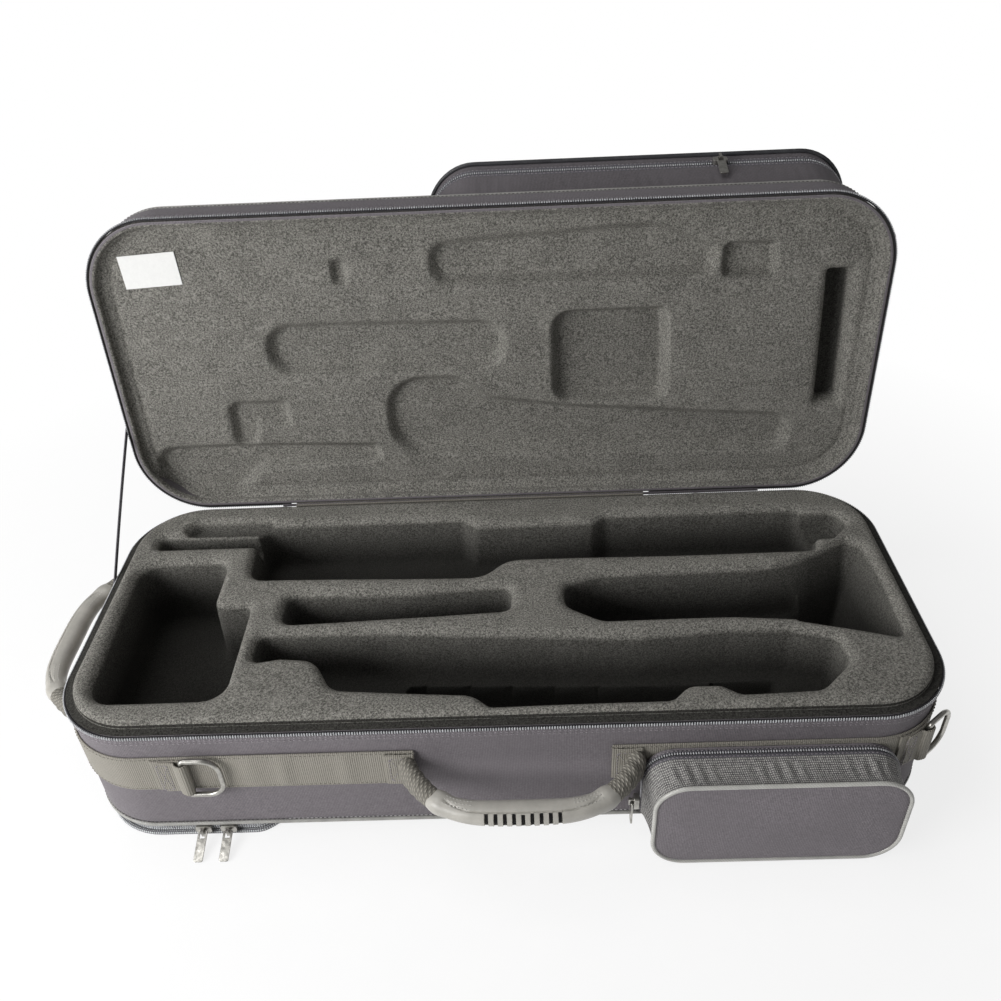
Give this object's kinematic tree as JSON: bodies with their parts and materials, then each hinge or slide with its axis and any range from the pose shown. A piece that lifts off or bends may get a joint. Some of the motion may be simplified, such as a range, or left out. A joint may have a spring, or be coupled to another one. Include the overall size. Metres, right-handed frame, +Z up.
{
  "type": "soft clarinet case",
  "caption": "Soft case for a disassembled clarinet, zipped lid open on a fabric hinge, moulded plush hollows, outer pockets, webbing handles and rings.",
  "frame": {"origin": "middle of the case outline on the flat underside", "axes": "+X along the length to the accessory pocket end, +Y to the hinge at the back, +Z up"},
  "size_m": [0.7962, 0.498, 0.4393],
  "materials": {
    "shell": "woven synthetic cloth over a stiff foam wall, charcoal",
    "plush": "short plush over moulded foam, dark warm grey",
    "webbing": "woven strap, olive grey",
    "zip": "zip tape with a coil of teeth",
    "piping": "smooth extruded cord, grey",
    "grip": "satin moulded grip",
    "metal": "plain satin metal",
    "label": "bare white label"
  },
  "bodies": {
    "base": {"base_shell": "shell", "base_liner": "plush", "base_zip_tape": "zip", "base_piping": "piping", "hinge_cord": "piping", "hinge_tape_base": "webbing", "strap_pocket_panel": "shell", "strap_pocket_gusset": "shell", "strap_pocket_piping": "piping", "webbing_band": "webbing", "front_ring_loop": "webbing", "side_ring_loop": "webbing", "front_patch_left": "webbing", "front_patch_right": "webbing", "side_patch_left": "webbing", "side_patch_right": "webbing", "accessory_pocket_backing": "shell", "accessory_pocket_bottom_gusset": "shell", "accessory_pocket_zip": "zip", "lid_stay_base_tab": "webbing", "lid_stay": "webbing"},
    "lid": {"lid_shell": "shell", "lid_liner": "plush", "lid_zip_tape": "zip", "lid_piping": "piping", "hinge_tape_lid": "webbing", "lid_ring_loop": "webbing", "lid_pocket_backing": "shell", "lid_pocket_gusset": "shell", "lid_pocket_hinge_gusset": "shell", "lid_pocket_zip": "zip", "label_plate": "label", "lid_stay_lid_tab": "webbing"},
    "front_handle": {"front_handle_grip": "grip", "front_strap_left": "webbing", "front_strap_right": "webbing"},
    "side_handle": {"side_handle_grip": "grip", "side_strap_left": "webbing", "side_strap_right": "webbing"},
    "front_d_ring": {"front_ring": "metal"},
    "side_d_ring": {"side_ring": "metal"},
    "lid_loop_ring": {"lid_ring": "metal"},
    "accessory_flap": {"accessory_pocket_gusset": "shell", "accessory_pocket_panel": "shell", "accessory_pocket_piping": "piping"},
    "lid_pocket_flap": {"lid_pocket_rim": "shell", "lid_pocket_panel": "shell", "lid_pocket_piping": "piping"},
    "strap_zip_left_pull": {"strap_zip_left_slider": "metal"},
    "strap_zip_left_pull_tab": {"strap_zip_left_tab": "metal"},
    "strap_zip_right_pull": {"strap_zip_right_slider": "metal"},
    "strap_zip_right_pull_tab": {"strap_zip_right_tab": "metal"},
    "accessory_zip_pull": {"accessory_zip_slider": "metal"},
    "accessory_zip_pull_tab": {"accessory_zip_tab": "metal"},
    "main_zip_left_pull": {"main_zip_left_slider": "metal"},
    "main_zip_left_pull_tab": {"main_zip_left_tab": "metal"},
    "main_zip_right_pull": {"main_zip_right_slider": "metal"},
    "main_zip_right_pull_tab": {"main_zip_right_tab": "metal"},
    "lid_pocket_zip_pull": {"lid_pocket_zip_slider": "metal"},
    "lid_pocket_zip_pull_tab": {"lid_pocket_zip_tab": "metal"}
  },
  "joints": [
    {"name": "lid_hinge", "type": "hinge", "parent": "base", "child": "lid", "pos_m": [0, 0.1515, 0.1323], "axis": [1, 0, 0], "range_deg": [0, 94], "deforming": ["lid_stay"]},
    {"name": "front_handle_swing", "type": "hinge", "parent": "base", "child": "front_handle", "pos_m": [0.01642, -0.1555, 0.086], "axis": [1, 0, 0], "range_deg": [-70, 70]},
    {"name": "side_handle_swing", "type": "hinge", "parent": "base", "child": "side_handle", "pos_m": [-0.3715, 0.00998, 0.086], "axis": [0, -1, 0], "range_deg": [-70, 70]},
    {"name": "front_ring_swing", "type": "hinge", "parent": "base", "child": "front_d_ring", "pos_m": [-0.25805, -0.1557, 0.086], "axis": [0, 0, -1], "range_deg": [0, 150]},
    {"name": "side_ring_swing", "type": "hinge", "parent": "base", "child": "side_d_ring", "pos_m": [0.34573, -0.13869, 0.086], "axis": [0, 0, -1], "range_deg": [0, 148]},
    {"name": "lid_ring_swing", "type": "hinge", "parent": "lid", "child": "lid_loop_ring", "pos_m": [0.36595, 0.1945, 0.3845], "axis": [0, -0.9976, 0.0698], "range_deg": [0, 150]},
    {"name": "accessory_flap_hinge", "type": "hinge", "parent": "base", "child": "accessory_flap", "pos_m": [0.21681, -0.18975, 0.0039], "axis": [1, 0, 0], "range_deg": [0, 85]},
    {"name": "lid_pocket_flap_hinge", "type": "hinge", "parent": "lid", "child": "lid_pocket_flap", "pos_m": [0.14491, 0.27248, 0.18439], "axis": [-1, 0, 0], "range_deg": [0, 80]},
    {"name": "strap_zip_left_slide", "type": "slide", "parent": "base", "child": "strap_zip_left_pull", "axis": [-1, 0, 0], "range_m": [0, 0.028]},
    {"name": "strap_zip_right_slide", "type": "slide", "parent": "base", "child": "strap_zip_right_pull", "axis": [1, 0, 0], "range_m": [0, 0.014]},
    {"name": "accessory_zip_slide", "type": "slide", "parent": "base", "child": "accessory_zip_pull", "axis": [0, 0, 1], "range_m": [0, 0.018]},
    {"name": "main_zip_left_slide", "type": "slide", "parent": "base", "child": "main_zip_left_pull", "axis": [-1, 0, 0], "range_m": [0, 0.06]},
    {"name": "main_zip_right_slide", "type": "slide", "parent": "base", "child": "main_zip_right_pull", "axis": [1, 0, 0], "range_m": [0, 0.075]},
    {"name": "lid_pocket_zip_slide", "type": "slide", "parent": "lid", "child": "lid_pocket_zip_pull", "axis": [-1, 0, 0], "range_m": [0, 0.21]},
    {"name": "strap_zip_left_tab_swing", "type": "hinge", "parent": "strap_zip_left_pull", "child": "strap_zip_left_pull_tab", "pos_m": [-0.26207, -0.1521, 0.0087], "axis": [-1, 0, 0], "range_deg": [0, 90]},
    {"name": "strap_zip_right_tab_swing", "type": "hinge", "parent": "strap_zip_right_pull", "child": "strap_zip_right_pull_tab", "pos_m": [-0.24017, -0.1521, 0.0087], "axis": [-1, 0, 0], "range_deg": [0, 90]},
    {"name": "accessory_zip_tab_swing", "type": "hinge", "parent": "accessory_zip_pull", "child": "accessory_zip_pull_tab", "pos_m": [0.10671, -0.1571, 0.042], "axis": [0, 1, 0], "range_deg": [0, 50]},
    {"name": "main_zip_left_tab_swing", "type": "hinge", "parent": "main_zip_left_pull", "child": "main_zip_left_pull_tab", "pos_m": [-0.2252, 0.1566, 0.1243], "axis": [1, 0, 0], "range_deg": [0, 80]},
    {"name": "main_zip_right_tab_swing", "type": "hinge", "parent": "main_zip_right_pull", "child": "main_zip_right_pull_tab", "pos_m": [0.20513, 0.1566, 0.1243], "axis": [1, 0, 0], "range_deg": [0, 80]},
    {"name": "lid_pocket_zip_tab_swing", "type": "hinge", "parent": "lid_pocket_zip_pull", "child": "lid_pocket_zip_pull_tab", "pos_m": [0.22265, 0.27324, 0.43583], "axis": [-1, 0, 0], "range_deg": [0, 150]}
  ]
}
